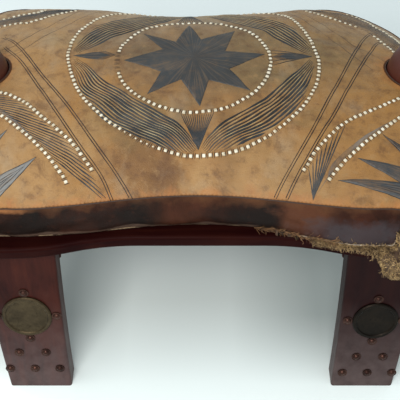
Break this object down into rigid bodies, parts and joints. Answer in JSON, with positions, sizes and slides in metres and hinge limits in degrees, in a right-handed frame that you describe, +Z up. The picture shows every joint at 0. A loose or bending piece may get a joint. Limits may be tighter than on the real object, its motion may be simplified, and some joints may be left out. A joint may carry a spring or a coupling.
{
  "type": "camel saddle stool",
  "caption": "Low wooden saddle stool with splayed board legs, leaning end pommels and a loose crowned leather cushion stuffed with straw.",
  "frame": {"origin": "on the floor, under the middle of the cushion and of the pair of pommels", "axes": "+X along the seat from pommel to pommel, +Y to the rear long side, +Z up"},
  "size_m": [0.6408, 0.523, 0.3914],
  "materials": {
    "wood": "dark red-brown stained hardwood under worn gloss varnish",
    "brass": "aged, darkened brass",
    "steel": "plain nails and screws",
    "top_leather": "tan leather, tooled and dyed, worn",
    "side_leather": "dark brown stained leather",
    "base_cloth": "coarse jute cloth",
    "straw": "dry straw stuffing"
  },
  "bodies": {
    "frame": {"leg_front_left": "wood", "leg_front_right": "wood", "leg_rear_left": "wood", "leg_rear_right": "wood", "disc_front_left": "brass", "disc_front_right": "brass", "disc_rear_left": "brass", "disc_rear_right": "brass", "studs_front_left": "brass", "studs_front_right": "brass", "studs_rear_left": "brass", "studs_rear_right": "brass", "leg_dowels": "wood", "rail_front": "wood", "rail_rear": "wood", "yoke_left": "wood", "yoke_right": "wood", "seat_slat_1": "wood", "seat_slat_2": "wood", "seat_slat_3": "wood", "seat_slat_4": "wood", "slat_nails": "steel", "rail_screws": "steel", "pommel_left": "wood", "pommel_right": "wood", "pommel_pins": "wood"},
    "cushion": {"cushion_top": "top_leather", "cushion_boxing": "side_leather", "cushion_base": "base_cloth", "cushion_filling": "straw", "straw_tuft": "straw"}
  },
  "joints": [
    {"name": "cushion_lift", "type": "slide", "parent": "frame", "child": "cushion", "axis": [0, 0, 1], "range_m": [0, 0.16]}
  ]
}
